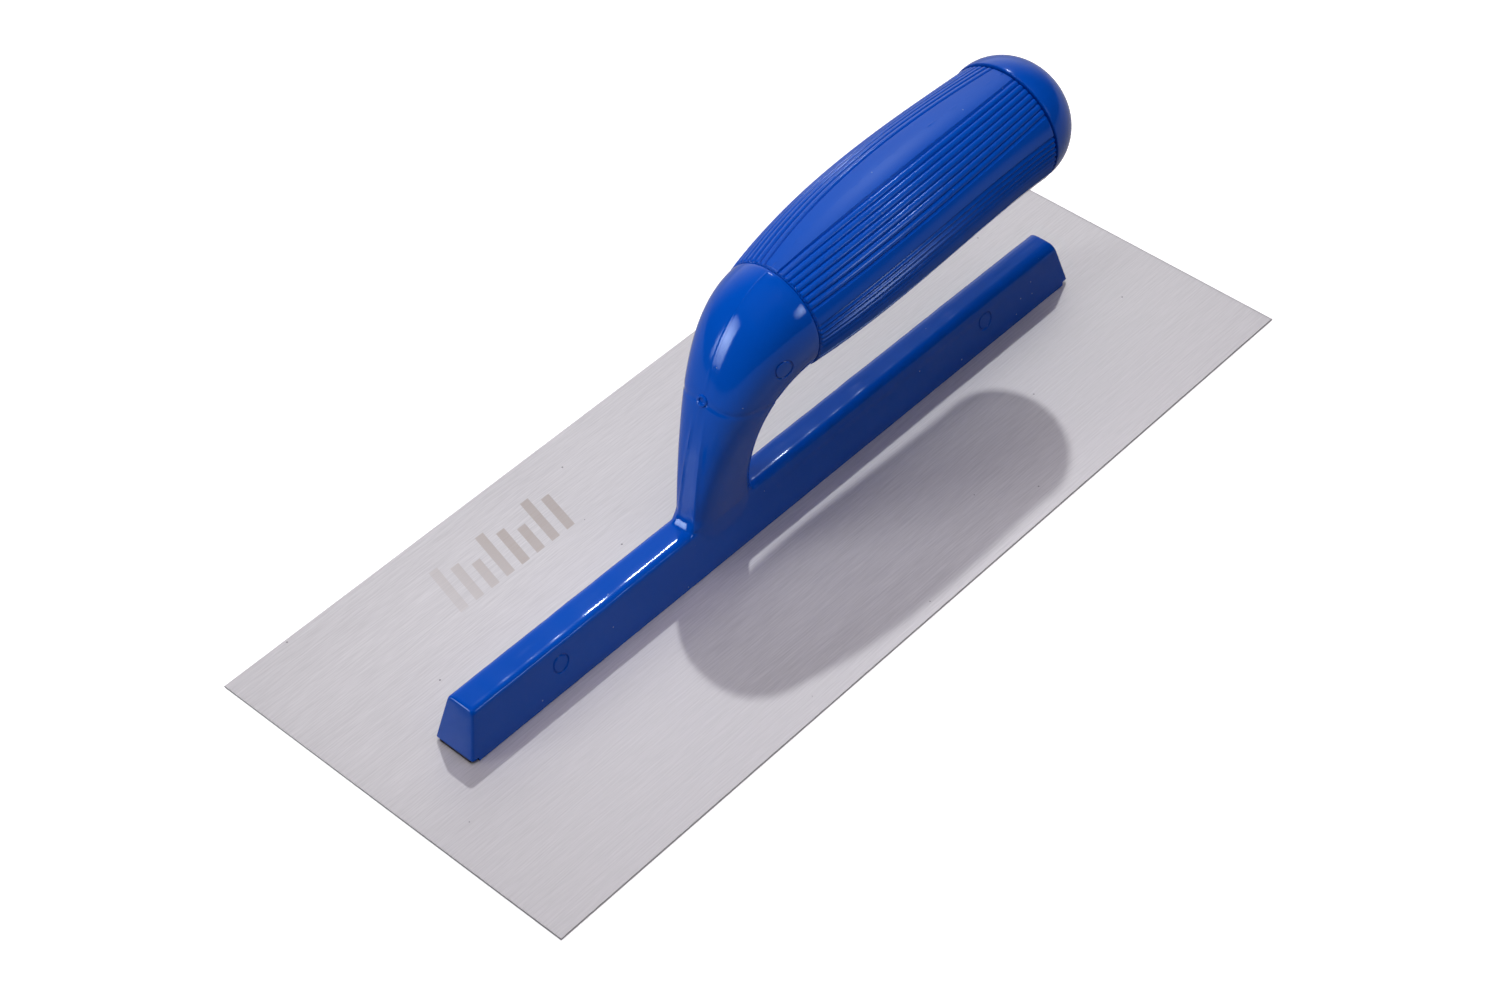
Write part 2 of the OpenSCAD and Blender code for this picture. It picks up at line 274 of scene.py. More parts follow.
def upright_rod(x, profile, sides=40):
    """Closed turned solid on a vertical axis at x, from (radius, height) pairs."""
    rings = [[(x + r * math.cos(a), r * math.sin(a), z) for a in even_angles(sides)]
             for r, z in profile]
    return new_piece("rod", *loft(rings))


def build_blade():
    rings = [sheet_ring(0, EDGE_BREAK), sheet_ring(EDGE_BREAK, 0),
             sheet_ring(blade_t - EDGE_BREAK - LAND_DROP, 0),
             sheet_ring(blade_t - EDGE_BREAK / 2, EDGE_BREAK / 2, LAND_W / 4),
             sheet_ring(blade_t, EDGE_BREAK, LAND_W)]
    blade = new_piece("blade_sheet", *loft(rings))
    head_r = RIVET_HEAD_R + RIVET_GAP
    shank_r = RIVET_R + RIVET_GAP
    cone_h = head_r - shank_r
    profile = [(head_r, -CUT), (head_r, 0), (shank_r, cone_h), (shank_r, blade_t + CUT)]
    holes = join_meshes("holes", [upright_rod(x, profile) for x in rivet_xs])
    return finish_mesh(combine(blade, holes, "DIFFERENCE"))


blade = build_blade()
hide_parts("blade")
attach(blade, "root")

# %% [markdown]
# ## Bar of the handle
# The bar is the long foot of the handle moulding. Its section is a trapezium with rounded top
# edges, a little rounder towards the heel. Both ends lean in. Each ring of the skin is one
# section, and near the ends the rings lean as well. The plastic shrinks as it cools, so the sides
# and the long top edges wander by some hundredths of a millimetre, which is what makes their
# highlight wavy. Behind the neck the sides carry three faint lines of the mould.

# %% Bar sections
BAR_W = 13.4
BAR_H = 14.8
SIDE_LEAN = 2.4
END_LEAN = 4.2
SEAT_GAP = 0.15
TOE_EDGE_R = 1.5
HEEL_EDGE_R = 2.9
EDGE_EASE = 1.5
END_ROUND = 0.7
TOP_CROWN = 0.07
CROWN_POWER = 6
MIN_EDGE_R = 0.3
SIDE_POINTS = 26
ARC_POINTS = 12
TOP_SHARES = (0.96, 0.9, 0.83, 0.74, 0.6, 0.4, 0.2)
LEAN_REACH = 14
SEAT_BAND = 0.5
WANDER = 0.07
WANDER_PITCH = (0.07, 0.12)
NEAR_SEED, FAR_SEED, EDGE_SEED = 3, 7, 5
SHIFT_SPAN = 6
EDGE_WAVE = 0.12
EDGE_PITCH = 0.13
EDGE_BAND = 3
# Each line on the side: its drop below the top, its width and how far it stands out.
SIDE_LINES = ((2.3, 0.35, -0.10), (3.4, 0.8, 0.10), (5.0, 0.5, -0.05))
LINES_FROM, LINES_TO = -8, 100
FADE_IN, FADE_OUT = 12, 25
bar_x0, bar_x1 = strip_low.x - 0.5, strip_high.x + 0.5
bar_top = blade_t + BAR_H
lean_angle = math.atan(SIDE_LEAN / BAR_H)


def bar_half(z):
    """Half the bar's width at height z."""
    return BAR_W / 2 - SIDE_LEAN * (z - blade_t) / BAR_H


def bar_edge_r(x):
    """Rounding of the top edges, growing towards the heel."""
    share = limited((x - bar_x0) / (bar_x1 - bar_x0))
    return TOE_EDGE_R + (HEEL_EDGE_R - TOE_EDGE_R) * share ** EDGE_EASE


def bar_side(edge_r, inset):
    """Points (y, z) up one side of the bar and over to the middle of its top."""
    r = max(edge_r - inset, MIN_EDGE_R)
    cz = bar_top - TOP_CROWN - inset - r
    cy = bar_half(cz) - inset - r / math.cos(lean_angle)
    low = blade_t + SEAT_GAP
    knee = cz + r * math.sin(lean_angle)
    side = [(bar_half(z) - inset, z) for z in np.linspace(low, knee, SIDE_POINTS, endpoint=False)]
    crown_angle = math.pi / 2 - CROWN_POWER * TOP_CROWN / cy
    arc = [(cy + r * math.cos(a), cz + r * math.sin(a))
           for a in np.linspace(lean_angle, crown_angle, ARC_POINTS)]
    top = [(cy * share, bar_top - inset - TOP_CROWN * share ** CROWN_POWER) for share in TOP_SHARES]
    return side + arc + top


def groove(distance, width):
    """Smooth dip that is 1 at no distance and fades over width."""
    return math.exp(-(distance / width) ** 2)


def bar_skin(x, y, z):
    """How far the side stands out at a point: its wandering, and the lines behind the neck."""
    seed = FAR_SEED if y > 0 else NEAR_SEED
    wander = WANDER * noise.noise(Vector((x * WANDER_PITCH[0], seed, z * WANDER_PITCH[1])))
    behind = limited((x - LINES_FROM) / FADE_IN) * limited((LINES_TO - x) / FADE_OUT)
    lines = sum(rise * groove(z - bar_top + drop, width) for drop, width, rise in SIDE_LINES)
    return wander + behind * lines


def edge_wave(x, z):
    """Rise of the top as it wanders along the bar."""
    if z <= bar_top - EDGE_BAND:
        return 0
    return EDGE_WAVE * noise.noise(Vector((x * EDGE_PITCH, EDGE_SEED, 0)))


def bar_ring(x, inset=0.0, out=0.0):
    """One section of the bar. out moves it outwards from where the bar's end begins."""
    share = max(0, 1 - min(x - bar_x0, bar_x1 - x) / LEAN_REACH)
    lean = END_LEAN * share * (1 if x < 0 else -1)
    half = bar_side(bar_edge_r(x), inset)
    ring = [(y, z) for y, z in half] + [(0, bar_top - inset)] + [(-y, z) for y, z in half[::-1]]
    low = blade_t + SEAT_GAP
    ring += [(y, low) for y in np.linspace(-half[0][0], half[0][0], 8)[1:-1]]
    points = []
    for y, z in ring:
        shift = bar_skin(x, y, z) if z > low + SEAT_BAND else 0
        side_share = min(abs(y) / bar_half(z), 1)
        px = x + lean * (z - blade_t) / BAR_H - out * (1 if x < 0 else -1)
        pz = z + edge_wave(x, z) + shift * (1 - side_share)
        points.append((px, y * (1 + shift / SHIFT_SPAN), pz))
    return points


# %% [markdown]
# The stations along the bar are close together where the neck stands, so that the joint between
# the two can be rounded there, and further apart elsewhere. A few shrinking rings round off
# each end.

# %% Bar mesh
FOOT_X = -23.4
FOOT_L = 22.2
JOINT_MARGIN = 3
JOINT_STEP = 0.45
BAR_STEP = 1.4
END_TURNS = 6


def bar_stations():
    """Places of the rings along the bar, close together where the neck stands."""
    xs = [bar_x0 + END_ROUND]
    while xs[-1] < bar_x1 - END_ROUND:
        at_joint = abs(xs[-1] - FOOT_X) < FOOT_L / 2 + JOINT_MARGIN
        xs.append(xs[-1] + (JOINT_STEP if at_joint else BAR_STEP))
    xs[-1] = bar_x1 - END_ROUND
    return xs


def build_bar():
    turns = np.linspace(0, math.pi / 2, END_TURNS)
    xs = bar_stations()
    start = [bar_ring(xs[0], END_ROUND * (1 - math.sin(a)), END_ROUND * math.cos(a))
             for a in turns[:-1]]
    end = [bar_ring(xs[-1], END_ROUND * (1 - math.sin(a)), END_ROUND * math.cos(a))
           for a in turns[-2::-1]]
    return new_piece("bar", *loft(start + [bar_ring(x) for x in xs] + end))


bar = build_bar()
print("bar points", len(bar.data.vertices))

# %% [markdown]
# ## Neck and bulb
# The neck rises from the bar, leans forward and swells into a round bulb that meets the grip. Two
# curves give its front and its rear. Every ring is an oval that spans them: nearly a rounded
# square at the foot and a circle at the collar. Past the collar the same skin steps in under the
# sleeve, runs along as the spigot and turns back into the hole for the screw.

# %% Neck sections
FOOT_W = 10.4
FRONT_FILLET = 1.8
REAR_FILLET = 0.6
FRONT_LEAN = math.radians(8.5)
REAR_LEAN = math.radians(13)
FRONT_PULL = (48, 15)
REAR_PULL = (25, 9)
WIDTH_EASE = 1.6
FOOT_SQUARE = 3.3
FOOT_SINK = 6
NECK_SIDES = 144
NECK_RINGS = 190
RING_BUNCHING = 1.4
PARTING_HALF = 0.016
NECK_ANGLES = sorted([*even_angles(NECK_SIDES), PARTING_HALF, 2 * math.pi - PARTING_HALF])


def flared(r, point):
    """Extra reach of the foot's rounding of size r at a point's height."""
    return r * max(0, 1 - (point[2] - bar_top) / (2 * r)) ** 2


def oval(front, rear, half_width, power):
    """Ring round an oval that spans front to rear. A higher power makes it squarer."""
    middle, reach = (front + rear) / 2, (front - rear) / 2
    ring = []
    for angle in NECK_ANGLES:
        c, s = math.cos(angle), math.sin(angle)
        c = math.copysign(abs(c) ** (2 / power), c)
        s = math.copysign(abs(s) ** (2 / power), s)
        ring.append(middle + reach * c + SIDEWAYS * half_width * s)
    return ring


def neck_ring(t):
    """One section of the neck, at share t of the way from foot to collar."""
    front_foot = np.array([FOOT_X - FOOT_L / 2, 0, bar_top])
    rear_foot = np.array([FOOT_X + FOOT_L / 2, 0, bar_top])
    up_front = np.array([math.sin(FRONT_LEAN), 0, math.cos(FRONT_LEAN)])
    up_rear = np.array([-math.sin(REAR_LEAN), 0, math.cos(REAR_LEAN)])
    crown = COLLAR + COLLAR_R * AXIS_UP
    throat = COLLAR - COLLAR_R * AXIS_UP
    front = curve_point(front_foot, front_foot + FRONT_PULL[0] * up_front,
                        crown - FRONT_PULL[1] * AXIS, crown, t)
    rear = curve_point(rear_foot, rear_foot + REAR_PULL[0] * up_rear,
                       throat - REAR_PULL[1] * AXIS, throat, t)
    half_width = COLLAR_R - (COLLAR_R - FOOT_W / 2) * (1 - t) ** WIDTH_EASE
    power = 2 + (FOOT_SQUARE - 2) * (1 - t) ** 2
    front[0] -= flared(FRONT_FILLET, front)
    rear[0] += flared(REAR_FILLET, rear)
    return oval(front, rear, half_width, power)


def sunk_ring():
    """The foot's lowest ring, sunk in the bar and just inside its sides."""
    z = bar_top - FOOT_SINK
    front = np.array([FOOT_X - FOOT_L / 2 - FRONT_FILLET, 0, z])
    rear = np.array([FOOT_X + FOOT_L / 2 + REAR_FILLET, 0, z])
    return oval(front, rear, bar_half(z) - RIVET_GAP, FOOT_SQUARE)


# %% [markdown]
# The mould leaves its own lines on the neck. A fine witness line crosses it where the bulb
# begins, two long shallow ridges run down the front, and a hair-fine parting line runs over the
# bulb where the two halves of the mould met. They are pushed into the rings before the mesh is
# made. A ridge is given by its turn from the front, in radians, and its width.

# %% Neck mesh
GATE = np.array([-27.1, 0.0, 52.6])
WITNESS_DEPTH = 0.20
WITNESS_W = 0.6
WITNESS_SAG, WITNESS_CURVE = 1.6, 1.5
WITNESS_TURN = 2.2
RIDGES = ((0.20, 0.05), (-0.30, 0.06))
RIDGE_H = 0.30
RIDGE_DROP = 3
RIDGE_FADE = 8
NECK_WANDER = 0.06
NECK_PITCH = 0.11
PARTING_H = 0.09
SEAM = 0.4
SEAM_DEPTH = 1.4
COLLAR_ROUND = 0.35
SPIGOT_R = 12.5
SPIGOT_L = 72.1
SCREW_HOLE_R = 2.55
SCREW_HOLE_END = 47.6


def neck_marks(ring):
    """Pushes the witness line, the front ridges and the parting line into one ring."""
    ring = np.array(ring)
    middle = ring.mean(axis=0)
    for k, point in enumerate(ring):
        outward = (point - middle) / np.linalg.norm(point - middle)
        turn = math.atan2(point[1], middle[0] - point[0])
        line_z = GATE[2] - WITNESS_SAG * abs(turn) ** WITNESS_CURVE
        in_front = abs(turn) < WITNESS_TURN
        witness = -WITNESS_DEPTH * groove(point[2] - line_z, WITNESS_W) if in_front else 0
        lower = limited((GATE[2] - RIDGE_DROP - point[2]) / RIDGE_FADE)
        ridges = RIDGE_H * sum(groove(turn - place, width) for place, width in RIDGES)
        wander = NECK_WANDER * noise.noise(Vector(point * NECK_PITCH))
        parting = PARTING_H * (1 - lower) if k == 0 else 0
        ring[k] = point + outward * (witness + ridges * lower + wander + parting)
    return ring


def collar_rings():
    """Rings from the collar's rounded edge into the seam, over the spigot and into its hole."""
    profile = [(COLLAR_R - COLLAR_ROUND * (1 - math.cos(a)), -COLLAR_ROUND * (1 - math.sin(a)))
               for a in np.linspace(0, math.pi / 2, 6)[1:]]
    profile += [(COLLAR_R - SEAM_DEPTH, 0), (COLLAR_R - SEAM_DEPTH, SEAM), (SPIGOT_R, SEAM),
                (SPIGOT_R, SPIGOT_L), (SCREW_HOLE_R, SPIGOT_L), (SCREW_HOLE_R, SCREW_HOLE_END)]
    return turned_rings(profile, NECK_ANGLES)


def build_neck():
    shares = (np.linspace(0, 1, NECK_RINGS + 1) ** RING_BUNCHING)[:-1]
    rings = [sunk_ring()] + [neck_marks(neck_ring(t)) for t in shares]
    rings = [ring for ring in rings if ring is rings[0] or
             np.dot(np.mean(ring, axis=0) - COLLAR, AXIS) < -2 * COLLAR_ROUND]
    return new_piece("neck", *loft(rings + collar_rings()))


neck = build_neck()
print("neck points", len(neck.data.vertices))

# %% [markdown]
# ## Handle moulding
# Bar and neck are one piece of plastic, with a small natural rounding where they meet. They are
# joined with a Boolean, and then the points near the joint are relaxed a few times, which rolls
# the crease into a fillet.

# %% Join bar and neck
JOINT_REACH = 1.3
RELAX_ROUNDS = 14
WELD = 0.02


def near_both(work, surfaces, reach):
    """Points of a mesh that are within reach of every one of the surfaces."""
    return [v for v in work.verts
            if all(s.find_nearest(v.co, reach * MM)[0] is not None for s in surfaces)]


def build_moulding(bar, neck):
    graph = bpy.context.evaluated_depsgraph_get()
    surfaces = [BVHTree.FromObject(part, graph) for part in (bar, neck)]
    moulding = combine(bar, neck, "UNION")
    moulding.name = "handle_moulding"

    def relax(work):
        bmesh.ops.remove_doubles(work, verts=work.verts, dist=WELD * MM)
        for _ in range(RELAX_ROUNDS):
            joint = near_both(work, surfaces, JOINT_REACH)
            bmesh.ops.smooth_vert(work, verts=joint, factor=0.5, use_axis_x=True,
                                  use_axis_y=True, use_axis_z=True)

    edit_mesh(moulding.data, relax)
    return moulding


moulding = build_moulding(bar, neck)
print("moulding points", len(moulding.data.vertices))

# %% [markdown]
# The mould's ejector pins leave faint circles on the near side, and the gate where the plastic
# was injected leaves a small raised ring. Thin rings that follow the skin are cut in or added for
# them. The strip's channel and the rivet holes are cut as well, so that nothing fills the same
# space twice.

# %% Marks, channel and rivet holes
PIN_SPOTS = ((-84.8, 9.4), (80.0, 9.4), (-10.3, 60.4))
PIN_R = 2.5
PIN_LINE = 0.33
GATE_R = 1.2
GATE_LINE = 0.48
MARK_AROUND, MARK_ACROSS = 56, 10
ABOVE_SKIN = 4
BESIDE_BAR, AHEAD_OF_NECK = -40, -60
STRIP_GAP = 0.1
SKIRT_CUT = 2.45


def thin_ring(piece, place, facing, radius, line):
    """A thin round ring that follows the surface of a piece around a place on it."""
    turn = Vector(facing).to_track_quat("Z", "Y").to_matrix()
    rings = []
    for a in even_angles(MARK_AROUND):
        outward = turn @ Vector((math.cos(a), math.sin(a), 0))
        above = place + outward * radius + facing * ABOVE_SKIN
        hit, ground, _, _ = piece.ray_cast(above * MM, -facing)
        middle = ground / MM if hit else above - facing * ABOVE_SKIN
        rings.append([middle + line * (math.cos(b) * outward + math.sin(b) * facing)
                      for b in even_angles(MARK_ACROSS)])
    return new_piece("ring", *tube(rings))


def block(low, high):
    """Closed block between two corners."""
    (x0, y0, z0), (x1, y1, z1) = low, high
    rings = [[(x0, y0, z), (x1, y0, z), (x1, y1, z), (x0, y1, z)] for z in (z0, z1)]
    return new_piece("block", *loft(rings))


def surface_point(piece, start, way):
    """Point and direction of a piece's skin where a line from start first meets it."""
    hit, place, facing, _ = piece.ray_cast(Vector(start) * MM, Vector(way))
    return place / MM, facing


def add_mould_marks(moulding):
    rings = []
    for x, z in PIN_SPOTS:
        place, facing = surface_point(moulding, (x, BESIDE_BAR, z), (0, 1, 0))
        rings.append(thin_ring(moulding, place, facing, PIN_R, PIN_LINE))
    gate, facing = surface_point(moulding, (AHEAD_OF_NECK, GATE[1], GATE[2]), (1, 0, 0))
    gate_ring = thin_ring(moulding, gate, facing, GATE_R, GATE_LINE)
    half = (strip_high.y - strip_low.y) / 2 + STRIP_GAP
    ends = [block((x, -BAR_W, -CUT), (x + SKIRT_CUT + CUT, BAR_W, strip_high.z))
            for x in (bar_x0 - CUT, bar_x1 - SKIRT_CUT)]
    channel = block((bar_x0 + SKIRT_CUT - CUT, -half, -CUT),
                    (bar_x1 - SKIRT_CUT + CUT, half, strip_high.z))
    hole_r = RIVET_R + RIVET_GAP / 2
    holes = [upright_rod(x, [(hole_r, 0), (hole_r, rivet_high.z)]) for x in rivet_xs]
    combine(moulding, join_meshes("ends", ends), "DIFFERENCE")
    combine(moulding, channel, "DIFFERENCE")
    combine(moulding, join_meshes("cuts", rings + holes), "DIFFERENCE")
    return combine(moulding, gate_ring, "UNION")


add_mould_marks(moulding)
split_wide_faces(moulding)
finish_mesh(moulding)
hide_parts("handle_mount")
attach(moulding, "root")

# %% [markdown]
# ## Grip sleeve
# The sleeve is the part that the hand holds. Along its top runs a smooth panel. Beside it come
# seven broad reeds on each side, then another smooth panel, then eight fine ribs, and the underside
# is smooth. The reeds are rounded ridges with narrow grooves between them, and their band draws in
# towards both ends. One side is described as angles from the top, in degrees, with a depth below
# the skin, and mirrored. The rings then follow the sleeve's swelling outline.

# %% Grip outline
GRIP_L = 90.6
GRIP_START_R = COLLAR_R + 0.35
GRIP_END_R = COLLAR_R + 2.5
TOP_SWELL = (6.7, 3.7)
SIDE_SWELL = (4.2, 0.7)
BOTTOM_SWELL = (1.4, -2.2)
REEDS = 7
REED_POINTS = 10
REED_DEPTH = 0.60
REED_FLATNESS = 3.2
# Each edge of the reeds' band: its middle angle, and how far it draws in at start and end.
REEDS_FROM = (17.5, 9.5, 6)
REEDS_TO = (59.5, 4, 7.5)
RIBS = 8
RIB_POINTS = 8
RIB_START, RIB_END = 74.0, 115.6
RIB_DEPTH = 0.50
RIB_SHARPNESS = 0.8
LINE_ANGLE = 0.8
TOP_POINTS, SIDE_PANEL_POINTS, UNDER_POINTS = 9, 10, 14


def grip_reach(swell, t):
    """Distance from the axis to the skin at share t along the grip, for one swell pair."""
    a, d = GRIP_START_R, GRIP_END_R
    step = (d - a) / 3
    return curve_point(a, a + step + swell[0], a + 2 * step + swell[1], d, t)


def band_edge(edge, t):
    """Angle of one edge of the reeds' band at share t along the grip."""
    middle, at_start, at_end = edge
    return middle - at_start * (1 - t) ** 4 - at_end * t ** 4


def reed_dip(phase):
    """Depth of a broad reed's round back below the skin, at share phase across it."""
    return REED_DEPTH * abs(2 * phase - 1) ** REED_FLATNESS


def rib_dip(phase):
    """Depth beside a fine rib's crest, at share phase across it."""
    return RIB_DEPTH * (0.5 + 0.5 * math.cos(2 * math.pi * phase)) ** RIB_SHARPNESS


def side_profile(t):
    """Angle from the top and depth below the skin of each point down one side."""
    a, b = band_edge(REEDS_FROM, t), band_edge(REEDS_TO, t)
    reed = (b - a) / REEDS
    rib = (RIB_END - RIB_START) / RIBS
    points = [(LINE_ANGLE, 0)] + [(angle, 0) for angle in np.linspace(0, a, TOP_POINTS)[1:-1]]
    points += [(a + (i + k / REED_POINTS) * reed, reed_dip(k / REED_POINTS))
               for i in range(REEDS) for k in range(REED_POINTS)]
    points += [(b, REED_DEPTH)]
    points += [(angle, 0) for angle in np.linspace(b, RIB_START, SIDE_PANEL_POINTS)[1:-1]]
    points += [(RIB_START + (i + k / RIB_POINTS) * rib, rib_dip(k / RIB_POINTS))
               for i in range(RIBS) for k in range(RIB_POINTS)]
    points += [(angle, 0) for angle in np.linspace(RIB_END, 180, UNDER_POINTS)[:-1]]
    return points


# %% [markdown]
# The grooves die out in the last millimetre at each end, where the mould closes on a plain rim,
# so the dips shrink there and the rim is rounded over. Both halves of the mould meet along the
# top, and the meeting line shows there as a hair-fine broken ridge.

# %% Grip mesh
RIM_ROUND = 0.5
RIM_TURNS = 6
RIM_DEPTH, RIM_DEPTH_GAIN = 0.55, 0.3
SKIN_DEPTH, SKIN_DEPTH_RISE = 0.85, 12
END_ZONE = (4, 86)
GRIP_RINGS = (9, 76, 10)
BORE_R = SPIGOT_R + 0.1
PLUG_R = 14.1
FLANGE_AT = 75.1
WASHER_HOLE_R = 2.7
LINE_HEIGHT = 0.15
LINE_PITCH = 0.35


def grip_ring(t, inset=0.0, depth=1.0):
    """One section of the sleeve, drawn in by inset, with its dips scaled by depth."""
    top, side, bottom = (grip_reach(s, t) - inset for s in (TOP_SWELL, SIDE_SWELL, BOTTOM_SWELL))
    down = side_profile(t)
    whole = [(0, 0)] + down + [(180, 0)] + [(360 - a, d) for a, d in down[::-1]]
    along = SEAM + t * (GRIP_L - SEAM)
    broken = 2 * max(0, noise.noise(Vector((along * LINE_PITCH, 0, 0))))
    ring = []
    for angle, dip in whole:
        a = math.radians(angle)
        line = LINE_HEIGHT * broken if angle == 0 else 0
        shrink = 1 - (dip * depth - line) / side
        up = (top - bottom) / 2 + (top + bottom) / 2 * shrink * math.cos(a)
        ring.append(COLLAR + along * AXIS + up * AXIS_UP + side * shrink * math.sin(a) * SIDEWAYS)
    return ring


def grip_rims(at_start):
    """Rings that round over one rim of the sleeve, from its end face outwards."""
    rings = []
    for a in np.linspace(0, math.pi / 2, RIM_TURNS)[:-1]:
        share = RIM_ROUND * (1 - math.cos(a)) / GRIP_L
        inset = RIM_ROUND * (1 - math.sin(a))
        depth = RIM_DEPTH + RIM_DEPTH_GAIN * math.sin(a)
        rings.append(grip_ring(share if at_start else 1 - share, inset, depth))
    return rings if at_start else rings[::-1]


def build_grip():
    places = (RIM_ROUND, *END_ZONE, GRIP_L - RIM_ROUND)
    runs = [np.linspace(a, b, count) for a, b, count in zip(places, places[1:], GRIP_RINGS)]
    steps = np.concatenate([runs[0], runs[1][1:], runs[2][1:]]) / GRIP_L
    body = [grip_ring(t, 0, min(1, SKIN_DEPTH + SKIN_DEPTH_RISE * min(t, 1 - t))) for t in steps]
    outer = grip_rims(True) + body + grip_rims(False)
    bore = turned_rings([(PLUG_R, GRIP_L), (PLUG_R, FLANGE_AT), (WASHER_HOLE_R, FLANGE_AT),
                         (WASHER_HOLE_R, SPIGOT_L), (BORE_R, SPIGOT_L), (BORE_R, SEAM)],
                        even_angles(len(outer[0])))
    return finish_mesh(new_piece("grip_moulding", *tube(outer + bore)))


grip = build_grip()
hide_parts("grip_sleeve")
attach(grip, "root")

# %% [markdown]
# Where the sleeve meets the collar, the grooves of the mould squeeze out a fine beaded line of
# flash. It is a narrow ring whose radius swells once for every groove.

# %% Beaded line at the collar
BEAD_COUNT = 84
BEAD_SWELL = 0.34
BEAD_EVEN, BEAD_UNEVEN = 0.6, 0.8
BEAD_R = COLLAR_R + 0.02
BEAD_TUCK = 0.1
BEAD_FLOOR_R = 14.2
BEAD_POINTS = 6
BEAD_LUMPS = 5
# The bead's section: places along the axis, and the share of the swell at each.
BEAD_SECTION = ((0.06, 0.0), (0.13, 0.7), (0.22, 1.0), (0.30, 0.7), (0.36, 0.0))


def bead_radius(a, share):
    """Radius of the bead's skin at angle a. Where the share is 0 it tucks in below the collar."""
    if share == 0:
        return BEAD_R - BEAD_TUCK
    spot = Vector((BEAD_LUMPS * math.cos(a), BEAD_LUMPS * math.sin(a), 2))
    uneven = BEAD_EVEN + BEAD_UNEVEN * abs(noise.noise(spot))
    return BEAD_R + abs(math.sin(BEAD_COUNT * a / 2)) * BEAD_SWELL * uneven * share


def build_seam_beads():
    around = even_angles(BEAD_COUNT * BEAD_POINTS)
    rings = [[axis_ring(along, bead_radius(a, share), [a])[0] for a in around]
             for along, share in BEAD_SECTION]
    ends = (BEAD_SECTION[-1][0], BEAD_SECTION[0][0])
    inner = turned_rings([(BEAD_FLOOR_R, along) for along in ends], around)
    return finish_mesh(new_piece("seam_beads", *tube(rings + inner)))


seam_beads = build_seam_beads()
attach(seam_beads, "root")

# %% [markdown]
# ## End cap
# The cap is a smooth dome pressed into the sleeve's heel end. It is a turned piece: one profile,
# carried round the grip's axis. A thin open seam shows between its rim and the sleeve.

# %% End cap
CAP_L = 16.3
CAP_LIFT = 0.4
CAP_RIM = 0.8
CAP_EDGE = 0.3
CAP_SIDES = 128
DOME_TURNS, EDGE_TURNS = 40, 5
PLUG_L = 8.0
CAP_R = GRIP_END_R + 0.1
PLUG_OUTER_R = PLUG_R - 0.1


def build_cap():
    seat = GRIP_L + SEAM
    dome = [(CAP_R * math.cos(a), seat + CAP_RIM + (CAP_L - CAP_RIM) * math.sin(a))
            for a in np.linspace(0, math.pi / 2, DOME_TURNS)[:-1]]
    edge = [(CAP_R - CAP_EDGE * (1 - math.sin(a)), seat + CAP_EDGE * (1 - math.cos(a)))
            for a in np.linspace(0, math.pi / 2, EDGE_TURNS)]
    plug = [(PLUG_OUTER_R, GRIP_L - PLUG_L), (PLUG_OUTER_R, GRIP_L),
            (CAP_R - SEAM_DEPTH, GRIP_L), (CAP_R - SEAM_DEPTH, seat)]
    around = even_angles(CAP_SIDES)
    rings = turned_rings(plug, around) + turned_rings(edge + dome, around, CAP_LIFT)
    return finish_mesh(new_piece("cap_dome", *loft(rings)))


cap = build_cap()
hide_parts("end_cap")
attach(cap, "root")

# %% [markdown]
# ## Shader groups
# Finishes share some effects: the faint ripple of moulded plastic, the streaks of brushed steel,
# and specks of dust. Each is built once as a node group with named inputs, and every material
# places it with its own values. Short helpers make the nodes, so that a recipe reads like a sum.

# %% Node helpers
UNSTRETCHED = (1, 1, 1)


def new_group(name, inputs, outputs):
    """An empty shader group. Inputs are (name, default) pairs, outputs are (name, type) pairs."""
    group = bpy.data.node_groups.new(name, "ShaderNodeTree")
    for label, value in inputs:
        socket = group.interface.new_socket(label, in_out="INPUT", socket_type="NodeSocketFloat")
        socket.default_value = value
    for label, kind in outputs:
        group.interface.new_socket(label, in_out="OUTPUT", socket_type="NodeSocket" + kind)
    start = group.nodes.new("NodeGroupInput")
    end = group.nodes.new("NodeGroupOutput")
    return group, start, end


def feed(node, values):
    """Fills a node's inputs: a socket is linked, and anything else is set as a plain value."""
    for key, value in values.items():
        if isinstance(value, bpy.types.NodeSocket):
            node.id_data.links.new(value, node.inputs[key])
        else:
            node.inputs[key].default_value = value
    return node


def add_node(tree, kind, values=None, **settings):
    """A node with its own settings and what its inputs get."""
    node = tree.nodes.new(kind)
    for key, value in settings.items():
        setattr(node, key, value)
    return feed(node, values or {})


def math_node(tree, operation, *sides):
    """Result of a Math node. Each side is a number or a socket."""
    return add_node(tree, "ShaderNodeMath", dict(enumerate(sides)), operation=operation).outputs[0]


def weighted_sum(tree, *pairs):
    """Sum of values that are each multiplied by a weight, from (value, weight) pairs."""
    parts = [math_node(tree, "MULTIPLY", value, weight) for value, weight in pairs]
    total = parts[0]
    for part in parts[1:]:
        total = math_node(tree, "ADD", total, part)
    return total


def product(tree, first, *others):
    for other in others:
        first = math_node(tree, "MULTIPLY", first, other)
    return first


def mapped(tree, value, low=0, high=1, source=(0, 1)):
    """Maps a source range onto the range from low to high, and stays inside it."""
    return add_node(tree, "ShaderNodeMapRange", {
        "Value": value, "From Min": source[0], "From Max": source[1],
        "To Min": low, "To Max": high}).outputs[0]


def own_place(tree):
    """Place of a point on the piece, in metres."""
    return add_node(tree, "ShaderNodeTexCoord").outputs["Object"]


def own_xyz(tree):
    return add_node(tree, "ShaderNodeSeparateXYZ", {0: own_place(tree)}).outputs


